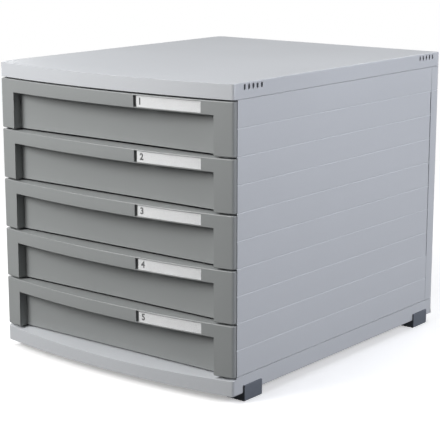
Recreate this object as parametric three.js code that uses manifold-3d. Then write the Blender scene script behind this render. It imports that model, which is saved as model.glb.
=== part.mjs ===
// Desktop file drawer: an office box of moulded polystyrene with five flat drawers.
// Lengths are in millimetres. X points to the right, Y to the back and Z up.
// The origin lies on the table, under the middle of the box.
// Inside the body group, y is 0 at the front corners and z is 0 at the underside of the base.

import * as THREE from 'three';
import { mergeVertices } from 'three/addons/utils/BufferGeometryUtils.js';
import Module from 'manifold-3d';

// Whole box
const bodyWidth = 294;
const sideDepth = 356; // from the front corners to the back
const bow = 12; // how far the middle of the front stands before its corners
const drawerCount = 5;
const drawerPitch = 51;

// Housing shells
const housingWall = 2.4;
const plateThickness = 2.2; // top of the cover and deck of the base
const coverHeight = 15.2;
const baseHeight = 17.4;
const frontCornerRound = 2.6;
const rearCornerRound = 4;
const topEdgeRound = 1.6;
const bottomEdgeRound = 1.2;
const seatGap = 0.3; // between two pieces that rest on or hook into each other
const stiffenerThickness = 1.6;
const stiffenerDepth = 5;
const stiffenersAlong = 4;
const stiffenersAcross = 5;

// Slopes on top of the cover, which lead to its front and rear edges
const frontSlopeStart = 22; // behind the front corners
const frontSlopeDrop = 1.4;
const rearSlopeLength = 12;
const rearSlopeDrop = 0.8;
const baseFrontDrop = 1.2; // the deck of the base lies this much lower under the drawer fronts
const baseDropBack = 12.5; // rear end of that part between the side walls, behind the front corners

// Stacking slots in the sides of the cover and the base
const slotCount = 5;
const slotPitch = 6.3;
const slotWidth = 2.6;
const slotHeight = 5.2;
const slotFromFace = 4.8; // from the top or bottom face to the middle of a slot
const slotGroupInset = 28.2; // from the front corners, and from the back, to a group's middle

// Feet, each an angle that hooks into a group of slots
const footDrop = 7.6; // height of the base over the table
const footRise = 7.8; // of the outer plate, above the base's underside
const footLength = 26.6;
const footProud = 1.9; // outer face, past the side of the housing
const footReach = 20; // of the pad, inwards from the side of the housing
const hookCount = 3; // for each foot, in the base's slots
const hookClearance = 0.3;
const hookLength = 1.4; // past the inner face of the base's wall
const footEdge = 0.9; // chamfer
const gripCount = 4;
const gripWidth = 1.2;
const gripDepth = 0.5;
const footSeatMargin = 2; // of the base's seat plate, around a foot's pad

// Side walls
const sideSetback = 5.5; // front edge, behind the front corners
const rearStrip = 15.5; // from the wall's rear seam to the back
const groovesPerDrawer = 2;
const grooveWidth = 1.5;
const grooveDepth = 0.7;
const seamChamfer = 0.45;
const tongueThickness = 2;
const tongueHeight = 5;
const tongueClearance = 0.4;
const tabLength = 24; // of the tongues that go down through slots in the deck
const webThickness = 2;
const webCount = 6;
const slitDepth = 1.4; // of the open slits along the rear seam
const slitTaperShare = 0.5; // the lowest slit is shallower by this share
const slitBridge = 2.4; // left between two slits, at a groove
const slitFirst = 1; // first and last groove with a slit below it, counted from the top
const slitLast = 7;

// Runners on the side walls
const railThickness = 1.8;
const railTipClearance = 2; // from the tray's side to a rail's tip
const railGapBelow = 0.3;
const railGapAbove = 0.5;
const stopSetback = 58.7; // of the stops' fronts, behind the front corners
const stopLength = 6;
const stopInset = 0.9; // from a tray's flange to the stop beside it

// Rear panel
const bumperThickness = 3;
const bumperInset = 60; // from the panel's sides

// Drawer fronts
const frontTopGap = 1.3; // below the drawer's upper division line
const frontBottomGap = 0.3; // above its lower division line
const frontReturn = 4.7; // back edge of the front's sides, behind the front corners
const barHeight = 13.3;
const postWidth = 20.5;
const frontWall = 2.4;
const recessSetback = 6.6; // panel's face, behind the front corners
const panelThickness = 2.2;
const railFrontClearance = 1; // from the closed front to the rails' front ends
const frontCap = 2.2; // top plate of the bar, and top and bottom of the posts
const frontEdgeRound = 0.9; // of the upper and lower edges of the bar and the posts

// Drawer trays
const trayInset = 21.8; // from the side of the housing to the tray's side
const trayWall = 2;
const trayHeight = 42.7;
const trayRearGap = 15; // from the tray to the back of the box
const trayCornerRound = 8;
const flangeWidth = 11.6;
const flangeThickness = 2;
const flangeStart = 6; // behind the panel's rear face
const lugWidth = 4.6;
const glideCount = 5;
const glideWidth = 4;
const glideHeight = 0.8;

// Label holder in the bar
const labelLength = 71.5;
const labelInset = 13; // from the post to the holder's right end
const labelNotch = 2.7; // open end of the holder, where a fingertip pushes the card out
const labelEdgeTop = 1.2; // strips of the bar left above and below the holder
const labelEdgeBottom = 1.3;
const labelDepth = 1.5;
const cardThickness = 0.3;
const windowThickness = 0.8;
const labelPlay = 0.2;

// How finely round stretches are divided
const bowSteps = 24;
const labelSteps = 8;
const cornerSteps = 4;
const slotEndSteps = 4;
const edgeSteps = 2;

const overrun = 5; // how far a cut runs past what it cuts

const half = bodyWidth / 2;
const bodyHeight = baseHeight + drawerCount * drawerPitch + coverHeight;
const coverSeam = bodyHeight - coverHeight;
const bowRadius = (half * half + bow * bow) / (2 * bow);
const bowCentre = bowRadius - bow;

const wasm = await Module();
wasm.setup();

// A closed mesh as a solid that can be joined and cut.
function solidOf(geometry) {
  geometry.deleteAttribute('normal');
  geometry.deleteAttribute('uv');
  const merged = mergeVertices(geometry);
  return new wasm.Manifold(new wasm.Mesh({
    numProp: 3,
    vertProperties: merged.getAttribute('position').array,
    triVerts: new Uint32Array(merged.index.array),
  }));
}

function extrude(shape, length) {
  return new THREE.ExtrudeGeometry(shape, { depth: length, bevelEnabled: false, curveSegments: cornerSteps });
}

// A shape in the plane of X and Y, carried upwards.
function alongZ(shape, low, high) {
  const geometry = extrude(shape, high - low);
  geometry.translate(0, 0, low);
  return solidOf(geometry);
}

// The same with rounded upper and lower edges.
function roundedAlongZ(shape, low, high, round) {
  const geometry = new THREE.ExtrudeGeometry(shape, {
    depth: high - low - 2 * round,
    bevelThickness: round,
    bevelSize: round,
    bevelOffset: -round,
    bevelSegments: edgeSteps,
    curveSegments: cornerSteps,
  });
  geometry.translate(0, 0, low + round);
  return solidOf(geometry);
}

// A shape in the plane of Y and Z, carried to the right.
function alongX(shape, low, high) {
  const geometry = extrude(shape, high - low);
  geometry.applyMatrix4(new THREE.Matrix4().set(0, 0, 1, low, 1, 0, 0, 0, 0, 1, 0, 0, 0, 0, 0, 1));
  return solidOf(geometry);
}

// A shape in the plane of X and Z, carried backwards.
function alongY(shape, low, high) {
  const geometry = extrude(shape, high - low);
  geometry.applyMatrix4(new THREE.Matrix4().set(1, 0, 0, 0, 0, 0, -1, high, 0, 1, 0, 0, 0, 0, 0, 1));
  return solidOf(geometry);
}

function block(low, high) {
  const size = high.map((value, axis) => value - low[axis]);
  const geometry = new THREE.BoxGeometry(...size);
  geometry.translate(...low.map((value, axis) => value + size[axis] / 2));
  return solidOf(geometry);
}

// A box on the left or right side, given for the right one.
function sideBlock(side, low, high) {
  const [near, ...lowRest] = low;
  const [far, ...highRest] = high;
  return side > 0
    ? block([near, ...lowRest], [far, ...highRest])
    : block([-far, ...lowRest], [-near, ...highRest]);
}

function joined(pieces) {
  return pieces.reduce((whole, piece) => whole.add(piece));
}

function polygon(points) {
  return new THREE.Shape(points.map(([a, b]) => new THREE.Vector2(a, b)));
}

// Points on a circle's arc, its ends included.
function arcPoints(x, y, radius, from, to, steps) {
  return Array.from({ length: steps + 1 }, (unused, step) => {
    const angle = from + (to - from) * step / steps;
    return [x + radius * Math.cos(angle), y + radius * Math.sin(angle)];
  });
}

// The bowed front, moved inwards by an inset: y over x.
function bowAt(x, inset = 0) {
  return bowCentre - Math.sqrt((bowRadius - inset) ** 2 - x * x);
}

function bowPoints(from, to, inset, steps) {
  return Array.from({ length: steps + 1 }, (unused, step) => {
    const x = from + (to - from) * step / steps;
    return [x, bowAt(x, inset)];
  });
}

// The bowed front with its two rounded corners, from left to right.
function frontLine(side, inset, round) {
  const corner = bowAt(side, inset);
  const curve = new THREE.QuadraticBezierCurve(
    new THREE.Vector2(side - round, bowAt(side - round, inset)),
    new THREE.Vector2(side, corner),
    new THREE.Vector2(side, corner + round),
  );
  const right = curve.getPoints(cornerSteps).map((point) => [point.x, point.y]);
  const left = right.map(([x, y]) => [-x, y]).reverse();
  const middle = bowPoints(round - side, side - round, inset, bowSteps);
  return [...left, ...middle.slice(1, -1), ...right];
}

// Plan of the housing, moved inwards by an inset.
function housingPlan(inset) {
  const side = half - inset;
  const back = sideDepth - inset;
  const frontRound = Math.max(frontCornerRound - inset, frontCornerRound / 4);
  const rearRound = Math.max(rearCornerRound - inset, rearCornerRound / 4);
  return polygon([
    ...frontLine(side, inset, frontRound),
    ...arcPoints(side - rearRound, back - rearRound, rearRound, 0, Math.PI / 2, cornerSteps),
    ...arcPoints(rearRound - side, back - rearRound, rearRound, Math.PI / 2, Math.PI, cornerSteps),
  ]);
}

// A strip along the bow between two insets, from one x to another.
function bowStrip(from, to, outer, inner, steps) {
  return polygon([
    ...bowPoints(from, to, outer, steps),
    ...bowPoints(from, to, inner, steps).reverse(),
  ]);
}

// A tongue that stands past the edge of a wall, on the wall's inner side, in the plane of
// (through the wall, along the wall). It points up where way is 1 and down where it is -1.
function tongueOutline(wallInner, edge, way, side = 1) {
  const outer = wallInner - tongueClearance;
  const inner = outer - tongueThickness;
  return polygon([
    [wallInner + housingWall / 2, edge],
    [outer, edge],
    [outer, edge + way * tongueHeight],
    [inner, edge + way * tongueHeight],
    [inner, edge - way * tongueThickness],
    [wallInner + housingWall / 2, edge - way * 2 * tongueThickness],
  ].map(([through, along]) => [side * through, along]));
}

// An upright slot with round ends, in the plane of Y and Z.
function slotOutline(y, z, width, height) {
  const round = width / 2;
  const reach = height / 2 - round;
  return polygon([
    ...arcPoints(y, z + reach, round, 0, Math.PI, slotEndSteps),
    ...arcPoints(y, z - reach, round, Math.PI, 2 * Math.PI, slotEndSteps),
  ]);
}

// Middles of a group of slots, from front to back.
function slotRow(middle, count) {
  return Array.from({ length: count }, (unused, slot) => middle + (slot - (count - 1) / 2) * slotPitch);
}

const slotGroups = [slotGroupInset, sideDepth - slotGroupInset];
const sideInner = half - housingWall;

function cutSlots(shell, z, count) {
  let result = shell;
  for (const y of slotGroups.flatMap((middle) => slotRow(middle, count))) {
    const outline = slotOutline(y, z, slotWidth, slotHeight);
    result = result.subtract(alongX(outline, sideInner - seatGap, half + overrun));
    result = result.subtract(alongX(outline, -half - overrun, seatGap - sideInner));
  }
  return result;
}

// Crossing stiffeners end short of the sides, clear of the feet's hooks.
const stiffenerSide = sideInner - hookLength - seatGap;
const stiffenerFront = housingWall / 2 - bow;
const stiffenerBack = sideDepth - housingWall / 2;

// Middles of the stiffeners between two ends.
function stiffenerRow(from, to, count) {
  return Array.from({ length: count }, (unused, rib) => from + (to - from) * (rib + 1) / (count + 1));
}

const stiffenerXs = stiffenerRow(-stiffenerSide, stiffenerSide, stiffenersAlong);
const stiffenerYs = stiffenerRow(stiffenerFront, stiffenerBack, stiffenersAcross);

function stiffeners(low, high) {
  const side = stiffenerSide;
  const thick = stiffenerThickness / 2;
  const front = stiffenerFront;
  const back = stiffenerBack;
  const along = stiffenerXs.map((x) => block([x - thick, front, low], [x + thick, back, high]));
  const across = stiffenerYs.map((y) => block([-side, y - thick, low], [side, y + thick, high]));
  return joined([...along, ...across]).intersect(alongZ(housingPlan(housingWall / 2), low, high));
}

// The ends of a tab halfway between each stiffener and the next.
function tabSpans(row) {
  return row.slice(1).map((place, bay) => {
    const middle = (row[bay] + place) / 2;
    return [middle - tabLength / 2, middle + tabLength / 2];
  });
}

// Top cover: a shallow lid, open below, that sits on the side walls and the rear panel.
// Its top slopes a little to the front and rear edges.
function topCover() {
  const low = coverSeam + seatGap / 2;
  const high = bodyHeight;
  const frontFall = frontSlopeDrop / (frontSlopeStart + bow);
  const rearFall = rearSlopeDrop / rearSlopeLength;
  const slopes = (top) => alongX(polygon([
    [-bow - overrun, low - overrun],
    [sideDepth + overrun, low - overrun],
    [sideDepth + overrun, top - rearSlopeDrop - overrun * rearFall],
    [sideDepth - rearSlopeLength, top],
    [frontSlopeStart, top],
    [-bow - overrun, top - frontSlopeDrop - overrun * frontFall],
  ]), -half - overrun, half + overrun);
  const across = alongY(polygon([
    [-half, low],
    [half, low],
    ...arcPoints(half - topEdgeRound, high - topEdgeRound, topEdgeRound, 0, Math.PI / 2, cornerSteps),
    ...arcPoints(topEdgeRound - half, high - topEdgeRound, topEdgeRound, Math.PI / 2, Math.PI, cornerSteps),
  ]), -bow - overrun, sideDepth + overrun);
  const outside = alongZ(housingPlan(0), low, high).intersect(across).intersect(slopes(high));
  const hollow = alongZ(housingPlan(housingWall), low - overrun, high)
    .intersect(slopes(high - plateThickness));
  const ribs = stiffeners(high - plateThickness - stiffenerDepth, high).intersect(outside);
  return cutSlots(outside.subtract(hollow).add(ribs), high - slotFromFace, slotCount);
}

// Base: a deck on a skirt, open below, that carries the side walls and the rear panel.
// Their tabs go through slots in the deck, and seat plates take the feet.
function base() {
  const high = baseHeight - seatGap / 2;
  const deckBottom = high - plateThickness;
  const round = bottomEdgeRound;
  const across = alongY(polygon([
    ...arcPoints(round - half, round, round, Math.PI, 1.5 * Math.PI, cornerSteps),
    ...arcPoints(half - round, round, round, 1.5 * Math.PI, 2 * Math.PI, cornerSteps),
    [half, high],
    [-half, high],
  ]), -bow - overrun, sideDepth + overrun);
  const ribTop = deckBottom + (plateThickness - baseFrontDrop) / 2;
  const lowDeck = (side, back) => block(
    [-side, -bow - overrun, high - baseFrontDrop],
    [side, back, high + overrun],
  );
  const lowDeckFill = block(
    [-half, -bow, deckBottom - baseFrontDrop],
    [half, baseDropBack + plateThickness, high],
  );
  const hollow = alongZ(housingPlan(housingWall), -overrun, deckBottom).subtract(lowDeckFill);
  const shell = alongZ(housingPlan(0), 0, high)
    .intersect(across)
    .subtract(hollow)
    .subtract(lowDeck(half + overrun, sideSetback - seatGap))
    .subtract(lowDeck(sideInner - seatGap, baseDropBack));
  const pieces = [shell, stiffeners(deckBottom - stiffenerDepth, ribTop)];
  const seatNear = half - footReach - footSeatMargin;
  const wallMiddle = half - housingWall / 2;
  for (const side of [1, -1]) {
    for (const middle of slotGroups) {
      const front = middle - footLength / 2 - footSeatMargin;
      const back = middle + footLength / 2 + footSeatMargin;
      pieces.push(
        sideBlock(side, [seatNear, front, 0], [wallMiddle, back, plateThickness]),
        sideBlock(side, [seatNear, front, 0], [wallMiddle, front + stiffenerThickness, ribTop]),
        sideBlock(side, [seatNear, back - stiffenerThickness, 0], [wallMiddle, back, ribTop]),
      );
    }
  }
  const slotLow = deckBottom - overrun;
  const slotHigh = high + overrun;
  const rear = sideDepth - housingWall;
  const room = tongueThickness + 2 * tongueClearance;
  const sideSlots = tabSpans(stiffenerYs).flatMap(([from, to]) => [1, -1].map((side) => sideBlock(
    side,
    [sideInner - room, from - tongueClearance, slotLow],
    [sideInner, to + tongueClearance, slotHigh],
  )));
  const rearSlots = tabSpans(stiffenerXs).map(([from, to]) => block(
    [from - tongueClearance, rear - room, slotLow],
    [to + tongueClearance, rear, slotHigh],
  ));
  const whole = [...sideSlots, ...rearSlots].reduce((rest, slot) => rest.subtract(slot), joined(pieces));
  return cutSlots(whole, slotFromFace, hookCount);
}

// Heights of one drawer's parts. The first drawer is the top one.
function drawerLevels(number) {
  const division = baseHeight + (drawerCount - number) * drawerPitch;
  const frontTop = division + drawerPitch - frontTopGap;
  const frontBottom = division + frontBottomGap;
  const rim = frontBottom + trayHeight;
  return {
    frontBottom,
    frontTop,
    barBottom: frontTop - barHeight,
    rim,
    railTop: rim - flangeThickness - railGapBelow,
    keeperBottom: rim + railGapAbove,
  };
}

const trayHalf = half - trayInset;
const trayFront = recessSetback + panelThickness;
const trayRear = sideDepth - trayRearGap;
const railTip = trayHalf + railTipClearance;
const railFront = trayFront + railFrontClearance;
const stripFront = sideDepth - rearStrip;
const sideRear = stripFront - seatGap;
const sideLow = baseHeight + seatGap / 2;
const sideHigh = coverSeam - seatGap / 2;

// Section of a side wall's skin in the plane of X and Z, with fine grooves outside.
function skinSection(side) {
  const grooves = [];
  for (let groove = 1; groove < drawerCount * groovesPerDrawer; groove += 1) {
    const z = baseHeight + groove * drawerPitch / groovesPerDrawer;
    grooves.push([half, z - grooveWidth / 2], [half - grooveDepth, z], [half, z + grooveWidth / 2]);
  }
  return polygon([
    [sideInner, sideLow],
    [half - seamChamfer, sideLow],
    [half, sideLow + seamChamfer],
    ...grooves,
    [half, sideHigh - seamChamfer],
    [half - seamChamfer, sideHigh],
    [sideInner, sideHigh],
  ].map(([x, z]) => [side * x, z]));
}

// Side wall: a skin with two rails for each drawer, which hold the flange of its tray between
// them. Webs tie the rails of neighbouring drawers, and each runner has a stop. Tongues stand in
// the cover and the rear panel, tabs in the deck, and open slits lie along the rear seam.
function sideWall(side) {
  const skin = sideInner + housingWall / 2;
  const pieces = [alongY(skinSection(side), sideSetback, sideRear)];
  for (let number = 1; number <= drawerCount; number += 1) {
    const { keeperBottom, railTop } = drawerLevels(number);
    pieces.push(
      sideBlock(side, [railTip, railFront, railTop - railThickness], [skin, sideRear, railTop]),
      sideBlock(side, [railTip, railFront, keeperBottom], [skin, sideRear, keeperBottom + railThickness]),
      sideBlock(
        side,
        [trayHalf + flangeWidth + stopInset, stopSetback, railTop - railThickness / 2],
        [skin, stopSetback + stopLength, keeperBottom + railThickness / 2],
      ),
    );
  }
  for (let bay = 0; bay <= drawerCount; bay += 1) {
    const high = bay > 0 ? drawerLevels(bay).railTop - railThickness / 2 : sideHigh;
    const low = bay < drawerCount ? drawerLevels(bay + 1).keeperBottom + railThickness / 2 : sideLow;
    for (let web = 0; web < webCount; web += 1) {
      const y = railFront + (sideRear - webThickness - railFront) * web / (webCount - 1);
      pieces.push(sideBlock(side, [railTip, y, low], [skin, y + webThickness, high]));
    }
  }
  pieces.push(alongY(tongueOutline(sideInner, sideHigh, 1, side), railFront, sideRear));
  pieces.push(alongZ(tongueOutline(sideInner, sideRear, 1, side), sideLow, sideHigh));
  for (const [from, to] of tabSpans(stiffenerYs)) {
    pieces.push(alongY(tongueOutline(sideInner, sideLow, -1, side), from, to));
  }
  let wall = joined(pieces);
  for (let groove = slitFirst; groove <= slitLast; groove += 1) {
    const high = coverSeam - groove * drawerPitch / groovesPerDrawer - slitBridge / 2;
    const low = high - drawerPitch / groovesPerDrawer + slitBridge;
    const depth = slitDepth * (1 - slitTaperShare * (groove - slitFirst) / (slitLast - slitFirst));
    wall = wall.subtract(sideBlock(
      side,
      [sideInner - tongueClearance / 2, sideRear - depth, low],
      [half + overrun, sideRear + overrun, high],
    ));
  }
  return wall;
}

// Rear panel: a plate whose side flanges meet the side walls, with two bumpers that the closed
// drawers rest against.
function rearPanel() {
  const inner = sideDepth - housingWall;
  const tongueSide = sideInner - tongueClearance - tongueThickness - seatGap;
  const grooveHeight = coverSeam - drawerPitch / groovesPerDrawer;
  const groove = alongZ(housingPlan(-overrun), grooveHeight - grooveWidth / 4, grooveHeight + grooveWidth / 4)
    .subtract(alongZ(housingPlan(grooveDepth), sideLow, sideHigh));
  const shell = alongZ(housingPlan(0), sideLow, sideHigh)
    .intersect(block([-half - overrun, stripFront, sideLow], [half + overrun, sideDepth + overrun, sideHigh]))
    .subtract(alongZ(housingPlan(housingWall), sideLow - overrun, sideHigh + overrun))
    .subtract(groove);
  const bumpers = [1, -1].map((side) => sideBlock(
    side,
    [half - bumperInset - bumperThickness / 2, trayRear + seatGap, sideLow],
    [half - bumperInset + bumperThickness / 2, inner + housingWall / 2, sideHigh],
  ));
  const tongue = alongX(tongueOutline(inner, sideHigh, 1), -tongueSide, tongueSide);
  const tabs = tabSpans(stiffenerXs).map(([from, to]) => alongX(tongueOutline(inner, sideLow, -1), from, to));
  return joined([shell, ...bumpers, tongue, ...tabs]);
}

// Foot: an angle of soft plastic. Its plate lies against the side of the base, its pad lies
// under it, and its hooks go through the base's slots.
function foot(side, middle) {
  const inner = half + seatGap;
  const outer = half + footProud;
  const padEdge = half - footReach;
  const padTop = -seatGap;
  const outline = [
    [padEdge, footEdge - footDrop],
    [padEdge + footEdge, -footDrop],
    [outer - footEdge, -footDrop],
    [outer, footEdge - footDrop],
    [outer, footRise - footEdge / 2],
    [outer - footEdge / 2, footRise],
    [inner, footRise],
    [inner, padTop],
    [padEdge, padTop],
  ];
  const front = middle - footLength / 2;
  const back = middle + footLength / 2;
  let angle = alongY(polygon(outline.map(([x, z]) => [side * x, z])), front, back);
  for (let grip = 1; grip <= gripCount; grip += 1) {
    const x = padEdge + (outer - padEdge) * grip / (gripCount + 1);
    angle = angle.subtract(sideBlock(
      side,
      [x - gripWidth / 2, front - overrun, -footDrop - overrun],
      [x + gripWidth / 2, back + overrun, gripDepth - footDrop],
    ));
  }
  const hooks = slotRow(middle, hookCount).map((y) => {
    const hook = slotOutline(y, slotFromFace, slotWidth - 2 * hookClearance, slotHeight - 2 * hookClearance);
    const near = sideInner - hookLength;
    const far = (inner + outer) / 2;
    return side > 0 ? alongX(hook, near, far) : alongX(hook, -far, -near);
  });
  return joined([angle, ...hooks]);
}

const recessHalf = half - postWidth;
const labelRight = recessHalf - labelInset;
const labelLeft = labelRight - labelLength;

// Front of a drawer: a bowed bar between two posts, with a set-back panel below the bar. The bar
// is hollow behind, as a grip for the fingers, and so are the posts.
function drawerFront(number) {
  const { frontBottom, frontTop, barBottom } = drawerLevels(number);
  const panelHalf = recessHalf + frontWall;
  const plan = polygon([
    ...frontLine(half, 0, frontCornerRound),
    [half, frontReturn],
    [panelHalf, frontReturn],
    [panelHalf, trayFront],
    [-panelHalf, trayFront],
    [-panelHalf, frontReturn],
    [-half, frontReturn],
  ]);
  const recess = block(
    [-recessHalf, -bow - overrun, frontBottom - overrun],
    [recessHalf, recessSetback, frontTop + overrun],
  );
  const posts = roundedAlongZ(plan, frontBottom, frontTop, frontEdgeRound).subtract(recess);
  const bar = roundedAlongZ(plan, barBottom, frontTop, frontEdgeRound);
  const gripHalf = recessHalf - frontWall;
  const grip = alongZ(polygon([
    ...bowPoints(-gripHalf, gripHalf, frontWall, bowSteps),
    [gripHalf, recessSetback],
    [-gripHalf, recessSetback],
  ]), barBottom - overrun, frontTop - frontCap);
  const pocketNear = recessHalf + frontWall;
  const pocketFar = half - frontWall;
  const pockets = [1, -1].map((side) => alongZ(polygon([
    ...bowPoints(pocketNear, pocketFar, frontWall, labelSteps),
    [pocketFar, frontReturn + overrun],
    [pocketNear, frontReturn + overrun],
  ].map(([x, y]) => [side * x, y])), frontBottom + frontCap, frontTop - frontCap));
  const labelLow = barBottom + labelEdgeBottom;
  const labelHigh = frontTop - labelEdgeTop;
  const holder = alongZ(
    bowStrip(labelLeft - labelNotch, labelRight, -overrun, labelDepth, labelSteps),
    labelLow,
    labelHigh,
  );
  const notch = alongZ(
    bowStrip(labelLeft - labelNotch, labelLeft, -overrun, frontWall + seatGap, labelSteps),
    labelLow,
    labelHigh,
  );
  return [grip, ...pockets, holder, notch].reduce((rest, cut) => rest.subtract(cut), posts.add(bar));
}

// Plan of a tray's outer or inner side, with rounded rear corners.
function trayPlan(inset) {
  const side = trayHalf - inset;
  const back = trayRear - inset;
  const front = trayFront - (inset > 0 ? 0 : panelThickness / 2);
  const round = trayCornerRound - inset;
  return polygon([
    [-side, front],
    [side, front],
    ...arcPoints(side - round, back - round, round, 0, Math.PI / 2, cornerSteps),
    ...arcPoints(round - side, back - round, round, Math.PI / 2, Math.PI, cornerSteps),
  ]);
}

// Drawer: front and tray in one moulding. Flanges along the tray's rim run in the side walls'
// rails, and a lug at the end of each one meets the stop when the drawer is fully out.
function drawer(number) {
  const { frontBottom, rim } = drawerLevels(number);
  const floor = frontBottom + trayWall;
  const tray = alongZ(trayPlan(0), frontBottom, rim)
    .subtract(alongZ(trayPlan(trayWall), floor, rim + overrun));
  const pieces = [drawerFront(number), tray];
  for (const side of [1, -1]) {
    pieces.push(sideBlock(
      side,
      [trayHalf - trayWall / 2, trayFront + flangeStart, rim - flangeThickness],
      [trayHalf + flangeWidth, trayRear, rim],
    ));
    pieces.push(sideBlock(
      side,
      [trayHalf + flangeWidth / 2, trayRear - stopLength, rim - flangeThickness],
      [trayHalf + flangeWidth + lugWidth, trayRear, rim],
    ));
  }
  for (let glide = 1; glide <= glideCount; glide += 1) {
    const x = trayHalf * (2 * glide / (glideCount + 1) - 1);
    pieces.push(block(
      [x - glideWidth / 2, trayFront + trayCornerRound, floor - trayWall / 2],
      [x + glideWidth / 2, trayRear - trayCornerRound, floor + glideHeight],
    ));
  }
  return joined(pieces);
}

// A thin strip that lies in the label holder, between two depths behind the bar's face.
function labelStrip(number, outer, inner) {
  const { frontTop, barBottom } = drawerLevels(number);
  return alongZ(
    bowStrip(labelLeft + labelPlay, labelRight - labelPlay, outer, inner, labelSteps),
    barBottom + labelEdgeBottom + labelPlay,
    frontTop - labelEdgeTop - labelPlay,
  );
}

const housingPlastic = new THREE.MeshStandardMaterial({ color: 0xb6bac2, roughness: 0.55, metalness: 0 });
const drawerPlastic = new THREE.MeshStandardMaterial({ color: 0x8d9090, roughness: 0.5, metalness: 0 });
const footPlastic = new THREE.MeshStandardMaterial({ color: 0x4d535c, roughness: 0.7, metalness: 0 });
const cardPaper = new THREE.MeshStandardMaterial({ color: 0xe8e8e6, roughness: 0.9, metalness: 0 });
const windowPlastic = new THREE.MeshStandardMaterial({
  color: 0xffffff,
  roughness: 0.2,
  metalness: 0,
  transparent: true,
  opacity: 0.3,
});

const body = new THREE.Group();
body.position.set(0, -(sideDepth - bow) / 2, footDrop);

function place(name, solid, material) {
  const { vertProperties, triVerts } = solid.getMesh();
  const geometry = new THREE.BufferGeometry();
  geometry.setAttribute('position', new THREE.BufferAttribute(vertProperties, 3));
  geometry.setIndex(new THREE.BufferAttribute(triVerts, 1));
  geometry.computeVertexNormals();
  const mesh = new THREE.Mesh(geometry, material);
  mesh.name = name;
  body.add(mesh);
}

place('top_cover', topCover(), housingPlastic);
place('base', base(), housingPlastic);
place('side_wall_left', sideWall(-1), housingPlastic);
place('side_wall_right', sideWall(1), housingPlastic);
place('rear_panel', rearPanel(), housingPlastic);
for (const [sideName, side] of [['left', -1], ['right', 1]]) {
  place(`foot_front_${sideName}`, foot(side, slotGroups[0]), footPlastic);
  place(`foot_rear_${sideName}`, foot(side, slotGroups[1]), footPlastic);
}
for (let number = 1; number <= drawerCount; number += 1) {
  const cardFace = labelDepth - labelPlay - cardThickness;
  place(`drawer_${number}`, drawer(number), drawerPlastic);
  place(`label_card_${number}`, labelStrip(number, cardFace, cardFace + cardThickness), cardPaper);
  place(`label_window_${number}`, labelStrip(number, 0, windowThickness), windowPlastic);
}

const model = new THREE.Group();
model.add(body);
export default model;
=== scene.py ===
# Desktop file drawer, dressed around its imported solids.
# Lengths are in metres, in the frame of the solids: X to the right, Y to the back, Z up.
import math

import bmesh
import bpy
import numpy as np
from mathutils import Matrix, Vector


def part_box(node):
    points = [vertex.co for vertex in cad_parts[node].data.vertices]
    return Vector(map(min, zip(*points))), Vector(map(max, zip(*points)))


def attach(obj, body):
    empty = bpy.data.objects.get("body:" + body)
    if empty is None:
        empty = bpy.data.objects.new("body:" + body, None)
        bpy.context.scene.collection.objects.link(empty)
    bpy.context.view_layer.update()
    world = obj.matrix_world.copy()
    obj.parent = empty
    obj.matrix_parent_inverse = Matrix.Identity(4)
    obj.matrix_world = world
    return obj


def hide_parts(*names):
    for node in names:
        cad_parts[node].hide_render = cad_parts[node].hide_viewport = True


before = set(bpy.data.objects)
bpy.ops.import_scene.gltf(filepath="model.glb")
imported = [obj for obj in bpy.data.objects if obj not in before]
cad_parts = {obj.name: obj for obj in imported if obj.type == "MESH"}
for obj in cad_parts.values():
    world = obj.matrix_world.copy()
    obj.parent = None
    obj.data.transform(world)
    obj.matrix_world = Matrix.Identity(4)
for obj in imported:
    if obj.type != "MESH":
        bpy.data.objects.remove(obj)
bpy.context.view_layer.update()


# Base
# A low shell of light grey polystyrene, injection-moulded open below, with stiffeners under
# its deck. Its bowed front edge shows under the lowest drawer, and all else stands on it.

SHINE_SHARE = 0.35


class Wire:
    """An output of a node. The operators on it add Math nodes to the same material."""

    def __init__(self, finish, socket):
        self.finish = finish
        self.socket = socket

    def math(self, operation, *values):
        return self.finish.node("ShaderNodeMath", {"operation": operation}, dict(enumerate(values)))

    def __add__(self, other):
        return self.math("ADD", self, other)

    def __sub__(self, other):
        return self.math("SUBTRACT", self, other)

    def __rsub__(self, other):
        return self.math("SUBTRACT", other, self)

    def __mul__(self, other):
        return self.math("MULTIPLY", self, other)

    __radd__ = __add__
    __rmul__ = __mul__


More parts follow.
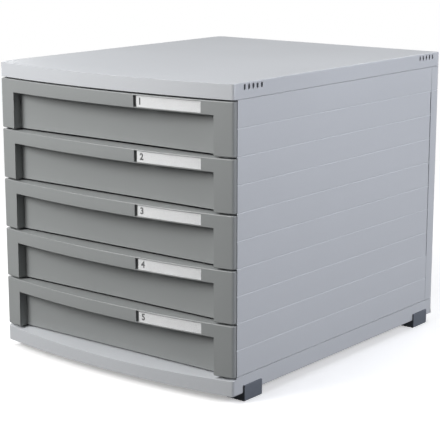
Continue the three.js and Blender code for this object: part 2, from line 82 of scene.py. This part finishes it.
class Finish:
    """A material, or the world, made of nodes in the order in which they are called for."""

    def __init__(self, name, kind=bpy.data.materials):
        self.material = kind.new(name)
        self.material.use_nodes = True
        self.tree = self.material.node_tree
        self.tree.nodes.clear()

    def node(self, kind, settings, sockets, output=0):
        """Makes any node: its settings first, then a value or a wire for each named socket."""
        made = self.tree.nodes.new(kind)
        for name, value in settings.items():
            setattr(made, name, value)
        for name, value in sockets.items():
            if isinstance(value, Wire):
                self.tree.links.new(value.socket, made.inputs[name])
            else:
                made.inputs[name].default_value = value
        return Wire(self, made.outputs[output]) if made.outputs else made

    def place(self):
        return self.node("ShaderNodeTexCoord", {}, {}, "Object")

    def noise(self, place, scale, detail=2.0):
        sockets = {"Vector": place, "Scale": scale, "Detail": detail}
        return self.node("ShaderNodeTexNoise", {}, sockets, "Fac")

    def smooth(self, value, low, high):
        """0 below low, 1 above high, with a smooth step between them."""
        return self.node(
            "ShaderNodeMapRange",
            {"interpolation_type": "SMOOTHSTEP"},
            {"Value": value, "From Min": low, "From Max": high},
        )

    def blend(self, share, first, second):
        """Colour first where share is 0 and second where it is 1."""
        return self.node("ShaderNodeMix", {"data_type": "RGBA"}, {0: share, 6: first, 7: second}, 2)

    def seen(self):
        """1 for what the camera sees straight or through a clear thing, a share of it for what
        it sees in the dull shine of plastic, and 0 for the rest."""
        straight, through, shine = [
            self.node("ShaderNodeLightPath", {}, {}, ray)
            for ray in ("Is Camera Ray", "Is Transmission Ray", "Is Glossy Ray")
        ]
        clear = straight.math("MAXIMUM", straight, through)
        return straight.math("MAXIMUM", clear, shine * SHINE_SHARE)

    def surface(self, **sockets):
        named = {name.replace("_", " "): value for name, value in sockets.items()}
        shader = self.node("ShaderNodeBsdfPrincipled", {}, named)
        self.node("ShaderNodeOutputMaterial", {}, {"Surface": shader})
        return self.material


def paint(red, green, blue, light=1.0):
    """A colour as it is seen on a screen, 0 to 255 each, as the linear one that shaders take."""
    seen = np.clip(np.array([red, green, blue]) / 255 * light, 0, 1)
    linear = np.where(seen <= 0.04045, seen / 12.92, ((seen + 0.055) / 1.055) ** 2.4)
    return (*linear.tolist(), 1.0)


# Moulded plastic: the pitch of each pattern in turns a metre, then how much it shows.
CLOUD_PITCH = 9.0
SPECK_PITCH = 900.0
GRAIN_PITCH = 2600.0
WAVE_PITCH = 16.0
SCUFF_PITCH = (900.0, 40.0, 700.0)
CLOUD_LIGHTS = (0.985, 1.015)
CLOUD_ROUGH = 0.10
SPECK_STEP = (0.45, 0.75)
SPECK_LIGHT = 0.90
SPECK_SHARE = 0.10
SPECK_ROUGH = 0.08
SCUFF_STEP = (0.62, 0.74)
SCUFF_SHINE = 0.07
GRAIN_STRENGTH = 0.35
WAVE_STRENGTH = 0.25
WAVE_DEPTH = 0.0006


def moulded_plastic(name, colour, roughness, grain_depth):
    """Moulded plastic: fine spark-eroded grain, faint clouds of flow in the colour, slow
    waves where the melt shrank, and scuffs that run along the piece and shine a little."""
    finish = Finish(name)
    place = finish.place()
    clouds = finish.noise(place, CLOUD_PITCH, detail=3.0)
    specks = finish.noise(place, SPECK_PITCH)
    grain = finish.noise(place, GRAIN_PITCH)
    waves = finish.noise(place, WAVE_PITCH, detail=1.0)
    along = finish.node("ShaderNodeMapping", {}, {"Vector": place, "Scale": SCUFF_PITCH})
    scuffs = finish.smooth(finish.noise(along, 1.0, detail=3.0), *SCUFF_STEP)
    dull, bright = [paint(*colour, light) for light in CLOUD_LIGHTS]
    tone = finish.blend(clouds, dull, bright)
    speckled = finish.smooth(specks, *SPECK_STEP) * SPECK_SHARE
    tone = finish.blend(speckled, tone, paint(*colour, SPECK_LIGHT))
    rough = roughness + (clouds - 0.5) * CLOUD_ROUGH - scuffs * SCUFF_SHINE
    rough = rough + (specks - 0.5) * SPECK_ROUGH
    skin = finish.node(
        "ShaderNodeBump",
        {},
        {"Strength": GRAIN_STRENGTH, "Distance": grain_depth, "Height": grain},
    )
    shape = finish.node(
        "ShaderNodeBump",
        {},
        {"Strength": WAVE_STRENGTH, "Distance": WAVE_DEPTH, "Height": waves, "Normal": skin},
    )
    return finish.surface(Base_Color=tone, Roughness=rough, Normal=shape, IOR=1.55)


def points_of(mesh):
    """The points of a mesh, with x, y and z in each row."""
    flat = np.empty(len(mesh.vertices) * 3)
    mesh.vertices.foreach_get("co", flat)
    return flat.reshape(-1, 3)


def edge_table(mesh):
    """For each edge of a closed mesh: its two points' numbers and places, its length, and the
    cosine of the angle between its two faces."""
    ends = np.empty(len(mesh.edges) * 2, int)
    mesh.edges.foreach_get("vertices", ends)
    ends = ends.reshape(-1, 2)
    places = points_of(mesh)[ends]
    normals = np.empty(len(mesh.polygons) * 3)
    mesh.polygons.foreach_get("normal", normals)
    sizes = np.empty(len(mesh.polygons), int)
    mesh.polygons.foreach_get("loop_total", sizes)
    edge_of_corner = np.empty(len(mesh.loops), int)
    mesh.loops.foreach_get("edge_index", edge_of_corner)
    face_of_corner = np.repeat(np.arange(len(sizes)), sizes)
    faces = face_of_corner[np.argsort(edge_of_corner, kind="stable")].reshape(-1, 2)
    cosine = normals.reshape(-1, 3)[faces].prod(1).sum(1)
    return ends, places, np.linalg.norm(places[:, 0] - places[:, 1], axis=1), cosine


def inside(places, boxes):
    """Which edges have both of their ends in one of the boxes."""
    kept = [
        ((places >= np.array(low)) & (places <= np.array(high))).all((1, 2))
        for low, high in boxes
    ]
    return np.any(kept, 0) if kept else np.zeros(len(places), bool)


MERGE_REACH = 0.00001
FLAT_ANGLE = 0.15
ROUNDED_ANGLE = 50
CRISP_ANGLE = 47
EDGE_ROOM = 2.5


def eased(node, name, edge, sharp, plain, shaped, creases):
    """A node's solid with its edges eased. Flat neighbours become one face, shaped bends the
    copy where it is given, and each edge that turns by more than the rounded angle is rounded,
    less where other edges are close. In the plain boxes all stays as it is. Edges that turn by
    more than the sharp angle stay crisp, and so do those in the crease boxes."""
    mesh = bpy.data.meshes.new(name)
    work = bmesh.new()
    work.from_mesh(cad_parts[node].data)
    bmesh.ops.remove_doubles(work, verts=work.verts, dist=MERGE_REACH)
    bmesh.ops.dissolve_degenerate(work, edges=work.edges, dist=MERGE_REACH)
    work.to_mesh(mesh)
    free = np.flatnonzero(~inside(edge_table(mesh)[1], plain))
    work.edges.ensure_lookup_table()
    bmesh.ops.dissolve_limit(
        work, angle_limit=math.radians(FLAT_ANGLE), verts=work.verts,
        edges=[work.edges[index] for index in free],
    )
    if shaped:
        shaped(work, mesh)
    work.to_mesh(mesh)
    work.free()
    ends, places, length, cosine = edge_table(mesh)
    room = np.full(len(mesh.vertices), np.inf)
    np.minimum.at(room, ends, length[:, None])
    rounded = (cosine < math.cos(math.radians(ROUNDED_ANGLE))) & ~inside(places, plain)
    share = np.where(rounded, np.clip(room[ends].min(1) / (EDGE_ROOM * edge), 0, 1), 0)
    mesh.attributes.new("bevel_weight_edge", "FLOAT", "EDGE").data.foreach_set("value", share)
    crisp = ((cosine < math.cos(math.radians(sharp))) | inside(places, creases)) & ~rounded
    mesh.attributes.new("sharp_edge", "BOOLEAN", "EDGE").data.foreach_set("value", crisp)
    mesh.shade_smooth()
    piece = bpy.data.objects.new(name, mesh)
    bpy.context.scene.collection.objects.link(piece)
    bevel = piece.modifiers.new("eased_edges", "BEVEL")
    bevel.width = edge
    bevel.segments = 2
    bevel.limit_method = "WEIGHT"
    bevel.use_clamp_overlap = False
    flat = piece.modifiers.new("flat_faces", "WEIGHTED_NORMAL")
    flat.keep_sharp = True
    return piece


def dress(
    node, name, edge, material, body, sharp=CRISP_ANGLE, plain=(), shaped=None, creases=()
):
    """Puts the eased copy of a node's solid in its place, with its material."""
    piece = eased(node, name, edge, sharp, plain, shaped, creases)
    piece.data.materials.append(material)
    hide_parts(node)
    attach(piece, body)


HOUSING_GREY = (199, 202, 206)
HOUSING_EDGE = 0.0002
LIP_BACK = -0.1668
LIP_ROOT = 0.0200
LIP_FALL = 0.20
LIP_LINE = (
    (-0.1475, LIP_BACK - MERGE_REACH, LIP_ROOT),
    (0.1475, LIP_BACK + MERGE_REACH, 0.0250),
)
BASE_INSIDE = ((-0.1447, -0.1570, -0.001), (0.1447, 0.1817, 0.0229))


def sloped_lip(work, mesh):
    """Tilts the part of the deck before the side walls: there a point (x, y, z) above the
    stiffeners' feet goes to (x, y, z - fall * (back - y))."""
    bmesh.ops.bisect_plane(
        work, geom=[*work.verts, *work.edges, *work.faces], dist=0.000001,
        plane_co=(0.0, LIP_BACK, 0.0), plane_no=(0.0, 1.0, 0.0),
    )
    work.to_mesh(mesh)
    points = points_of(mesh)
    before = np.clip(LIP_BACK - points[:, 1], 0, None)
    points[:, 2] -= LIP_FALL * before * (points[:, 2] > LIP_ROOT)
    mesh.vertices.foreach_set("co", points.ravel())
    work.clear()
    work.from_mesh(mesh)


housing_plastic = moulded_plastic(
    "housing_plastic", HOUSING_GREY, roughness=0.46, grain_depth=0.00003
)
dress(
    "base", "base_shell", HOUSING_EDGE, housing_plastic, "housing",
    plain=[BASE_INSIDE], shaped=sloped_lip, creases=[LIP_LINE],
)


# Feet
# Four angles of dark, slightly soft plastic. Their hooks snap into slots in the base's sides,
# and their grooved pads keep the box from sliding.

FOOT_GREY = (98, 104, 113)
FOOT_EDGE = 0.0003

foot_plastic = moulded_plastic("foot_plastic", FOOT_GREY, roughness=0.6, grain_depth=0.00005)
for corner in ("front_left", "front_right", "rear_left", "rear_right"):
    dress(
        f"foot_{corner}", f"foot_{corner}_pad", FOOT_EDGE, foot_plastic,
        "housing",
    )


# Side walls and rear panel
# Moulded skins of the same light grey plastic. The side walls carry the rails of the drawers
# inside, and the rear panel closes the box.

HOUSING_INSIDE = ((-0.1447, -0.1660, -0.001), (0.1447, 0.1817, 0.2913))
GROOVE_CRISP_ANGLE = 30

for wall in ("side_wall_left", "side_wall_right", "rear_panel"):
    dress(
        wall, f"{wall}_skin", HOUSING_EDGE, housing_plastic, "housing",
        sharp=GROOVE_CRISP_ANGLE, plain=[HOUSING_INSIDE],
    )


# Drawers
# Front and tray in one moulding of a darker grey, with a finer grain than the housing's.
# The bar across the front is hollow behind and is pulled with the fingertips.

DRAWER_COUNT = 5
DRAWER_GREY = (146, 149, 149)
DRAWER_EDGE = 0.00025
HOLDER_ROOM = Vector((0.0033, 0.0025, 0.0006))

drawer_plastic = moulded_plastic(
    "drawer_plastic", DRAWER_GREY, roughness=0.40, grain_depth=0.00002
)
for number in range(1, DRAWER_COUNT + 1):
    low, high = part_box(f"label_card_{number}")
    dress(
        f"drawer_{number}", f"drawer_{number}_moulding", DRAWER_EDGE, drawer_plastic,
        f"drawer_{number}", plain=[(low - HOLDER_ROOM, high + HOLDER_ROOM)],
    )


# Label cards
# Strips of white card, cut to the holder and pushed in from its left end. Each one carries
# its drawer's number in dark grey print.

CARD_WHITES = ((229, 231, 232), (239, 240, 241))
FIBRE_PITCH = 2400.0
INK_GREYS = ((48, 49, 52), (66, 67, 70))
INK_PITCH = 3000.0


def card_paper():
    finish = Finish("card_paper")
    fibres = finish.noise(finish.place(), FIBRE_PITCH, detail=3.0)
    first, second = [paint(*white) for white in CARD_WHITES]
    tone = finish.blend(fibres, first, second)
    bumps = finish.node(
        "ShaderNodeBump", {}, {"Strength": 0.3, "Distance": 0.00002, "Height": fibres}
    )
    return finish.surface(Base_Color=tone, Roughness=0.85, Normal=bumps)


def number_ink():
    finish = Finish("number_ink")
    cover = finish.noise(finish.place(), INK_PITCH)
    first, second = [paint(*grey) for grey in INK_GREYS]
    return finish.surface(Base_Color=finish.blend(cover, first, second), Roughness=0.7)


def coat(node, material):
    """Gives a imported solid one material."""
    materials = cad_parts[node].data.materials
    materials.clear()
    materials.append(material)


BOW_HALF = 0.147
BOW_RISE = 0.012
BOW_RADIUS = (BOW_HALF ** 2 + BOW_RISE ** 2) / (2 * BOW_RISE)
FRONT_CORNERS = -0.172
PRINT_DEPTH = 0.00097
PRINT_HEIGHT = 0.0062
PRINT_WEIGHT = 0.00032
PRINT_LEFT = 0.0032
FIGURE_SHARE = 0.73


def bowed(across, depth):
    """The y of the bowed front at x: an arc whose middle is on x = 0, moved in by a depth."""
    centre = FRONT_CORNERS + BOW_RADIUS - BOW_RISE
    return centre - np.sqrt((BOW_RADIUS - depth) ** 2 - across ** 2)


def printed_number(number, material):
    """The figure as flat print: each outline point (u, v) goes to x = left + u, z = foot + v
    and the bowed y just before the card's face."""
    low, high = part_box(f"label_card_{number}")
    letters = bpy.data.curves.new(f"figure_{number}", "FONT")
    letters.body = str(number)
    letters.size = PRINT_HEIGHT / FIGURE_SHARE
    letters.offset = PRINT_WEIGHT
    shape = bpy.data.objects.new(f"figure_{number}", letters)
    bpy.context.scene.collection.objects.link(shape)
    bpy.context.view_layer.update()
    drawn = shape.evaluated_get(bpy.context.evaluated_depsgraph_get())
    mesh = bpy.data.meshes.new_from_object(drawn)
    bpy.data.objects.remove(shape)
    flat = points_of(mesh)
    flat[:, :2] -= flat[:, :2].min(0)
    across = low.x + PRINT_LEFT + flat[:, 0]
    up = (low.z + high.z - PRINT_HEIGHT) / 2 + flat[:, 1]
    placed = np.stack([across, bowed(across, PRINT_DEPTH), up], 1)
    mesh.vertices.foreach_set("co", placed.ravel())
    mesh.update()
    mesh.materials.clear()
    mesh.materials.append(material)
    piece = bpy.data.objects.new(f"label_number_{number}", mesh)
    bpy.context.scene.collection.objects.link(piece)
    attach(piece, f"drawer_{number}")


paper = card_paper()
ink = number_ink()
for number in range(1, DRAWER_COUNT + 1):
    coat(f"label_card_{number}", paper)
    printed_number(number, ink)


# Label windows
# Strips cut from clear film. They lie in the holders in front of the cards, held by the same
# thin edges, and keep the cards clean.

FILM_WHITE = (250, 250, 250)
SMEAR_PITCH = 60.0


def clear_film():
    finish = Finish("clear_film")
    smears = finish.noise(finish.place(), SMEAR_PITCH, detail=3.0)
    return finish.surface(
        Base_Color=paint(*FILM_WHITE),
        Roughness=0.12 + smears * 0.10,
        Alpha=0.05 + smears * 0.05,
    )


film = clear_film()
for number in range(1, DRAWER_COUNT + 1):
    coat(f"label_window_{number}", film)


# Top cover
# A lid of the housing's plastic that snaps onto the walls. Its top slopes a little to its
# front and rear edges, and slots in its sides take the feet of a second box.

dress(
    "top_cover", "top_cover_shell", HOUSING_EDGE, housing_plastic, "housing",
    plain=[HOUSING_INSIDE],
)


# Floor
# One plain sheet of pale paper that the feet stand on. It keeps the shadow near the object
# and turns white further out.

FLOOR_REACH = 12.0
FLOOR_STEPS = 24
FLOOR_PALE = (0.86, 0.86, 0.86, 1.0)
FLOOR_DIM = (0.04, 0.04, 0.04, 1.0)
FLOOR_LIFT = 0.37
SHADOW_REACH = (0.4, 1.1)


def floor_sheet():
    """A flat sheet: (u, v) from -1 to 1 goes to (u * reach, v * reach, 0)."""
    steps = np.linspace(-1, 1, FLOOR_STEPS + 1)
    u, v = np.meshgrid(steps, steps)
    points = np.stack([u.ravel() * FLOOR_REACH, v.ravel() * FLOOR_REACH, 0 * u.ravel()], 1)
    row = FLOOR_STEPS + 1
    corner = np.arange(row * FLOOR_STEPS).reshape(FLOOR_STEPS, row)[:, :-1].ravel()
    faces = np.stack([corner, corner + 1, corner + row + 1, corner + row], 1)
    mesh = bpy.data.meshes.new("floor")
    mesh.from_pydata(points.tolist(), [], faces.tolist())
    return bpy.data.objects.new("floor", mesh)


def floor_paper():
    """White paper. To the camera it is lifted a little, so that only the shadow shows on it,
    and the light that it throws back at the object is dimmed, as black card beside it would."""
    finish = Finish("floor_paper")
    length = {"operation": "LENGTH"}
    distance = finish.node("ShaderNodeVectorMath", length, {0: finish.place()}, "Value")
    far = finish.smooth(distance, *SHADOW_REACH)
    seen = finish.seen()
    pale = finish.node("ShaderNodeBsdfDiffuse", {}, {"Color": FLOOR_PALE})
    dim = finish.node("ShaderNodeBsdfDiffuse", {}, {"Color": FLOOR_DIM})
    lift = finish.node("ShaderNodeEmission", {}, {"Strength": FLOOR_LIFT})
    white = finish.node("ShaderNodeEmission", {}, {"Strength": 1.0})
    near = finish.node("ShaderNodeAddShader", {}, {0: pale, 1: lift})
    shown = finish.node("ShaderNodeMixShader", {}, {0: far, 1: near, 2: white})
    mixed = finish.node("ShaderNodeMixShader", {}, {0: seen, 1: dim, 2: shown})
    finish.node("ShaderNodeOutputMaterial", {}, {"Surface": mixed})
    return finish.material


floor = floor_sheet()
floor.data.materials.append(floor_paper())
bpy.context.scene.collection.objects.link(floor)


# Light
# A near soft light from the front, a little to the left, a cooler one on the right side, one
# over the back, a low one from the left and a weak one from above the front. Past them all is
# white.

LIGHT_TARGET = Vector((0.0, 0.0, 0.12))
PLAIN_LIGHT = (1.0, 1.0, 1.0)
WARM_LIGHT = (1.0, 0.993, 0.986)
MILD_LIGHT = (1.0, 0.996, 0.993)
COOL_LIGHT = (0.92, 0.936, 1.0)
SKY_COLOUR = (0.95, 0.98, 1.0, 1.0)
SKY_LIGHT = 0.01


def soft_light(name, turn, rise, distance, width, height, power, colour):
    """A lamp that looks at the target from a turn to the right of the front and a rise."""
    lamp = bpy.data.lights.new(name, "AREA")
    lamp.shape = "ELLIPSE"
    lamp.size = width
    lamp.size_y = height
    lamp.energy = power
    lamp.color = colour
    turn, rise = math.radians(turn), math.radians(rise)
    out = math.cos(rise)
    away = Vector((math.sin(turn) * out, -math.cos(turn) * out, math.sin(rise)))
    holder = bpy.data.objects.new(name, lamp)
    holder.location = LIGHT_TARGET + distance * away
    holder.rotation_euler = away.to_track_quat("Z", "Y").to_euler()
    bpy.context.scene.collection.objects.link(holder)


soft_light(
    "key_light", turn=-24.0, rise=28.0, distance=1.4, width=0.75, height=0.75, power=16.2,
    colour=WARM_LIGHT,
)
soft_light(
    "side_light", turn=101.0, rise=22.0, distance=1.4, width=1.2, height=0.9, power=15.0,
    colour=COOL_LIGHT,
)
soft_light(
    "back_light", turn=180.0, rise=45.0, distance=2.2, width=1.2, height=1.2, power=13.0,
    colour=PLAIN_LIGHT,
)
soft_light(
    "left_light", turn=-112.0, rise=10.0, distance=2.2, width=1.2, height=1.0, power=18.0,
    colour=PLAIN_LIGHT,
)
soft_light(
    "top_light", turn=-15.0, rise=62.0, distance=1.5, width=0.9, height=0.9, power=6.0,
    colour=MILD_LIGHT,
)


def pale_sky():
    """White to the camera, and a faint light from all sides to everything else."""
    finish = Finish("pale_sky", bpy.data.worlds)
    light = finish.node("ShaderNodeBackground", {}, {"Color": SKY_COLOUR, "Strength": SKY_LIGHT})
    full = {"Color": (1.0, 1.0, 1.0, 1.0), "Strength": 1.0}
    white = finish.node("ShaderNodeBackground", {}, full)
    mixed = finish.node("ShaderNodeMixShader", {}, {0: finish.seen(), 1: light, 2: white})
    finish.node("ShaderNodeOutputWorld", {}, {"Surface": mixed})
    return finish.material


bpy.context.scene.world = pale_sky()


# Camera
# It stands to the right of the front and looks down a little, with a long lens. Its place and
# its lens are the ones that fit the object's corners best in a square picture.

CAMERA_PLACE = (0.9105, -1.1551, 0.4482)
CAMERA_TURN = 38.39
CAMERA_DIP = 12.44
FRAME_PIXELS = 440
FOCAL_PIXELS = 1436.4
SENSOR_WIDTH = 36.0

camera = bpy.data.cameras.new("camera")
camera.sensor_width = SENSOR_WIDTH
camera.lens = FOCAL_PIXELS / FRAME_PIXELS * SENSOR_WIDTH
viewer = bpy.data.objects.new("camera", camera)
viewer.location = CAMERA_PLACE
viewer.rotation_euler = (math.radians(90 - CAMERA_DIP), 0.0, math.radians(CAMERA_TURN))
bpy.context.scene.collection.objects.link(viewer)
bpy.context.scene.camera = viewer
bpy.context.scene.view_settings.view_transform = "Standard"
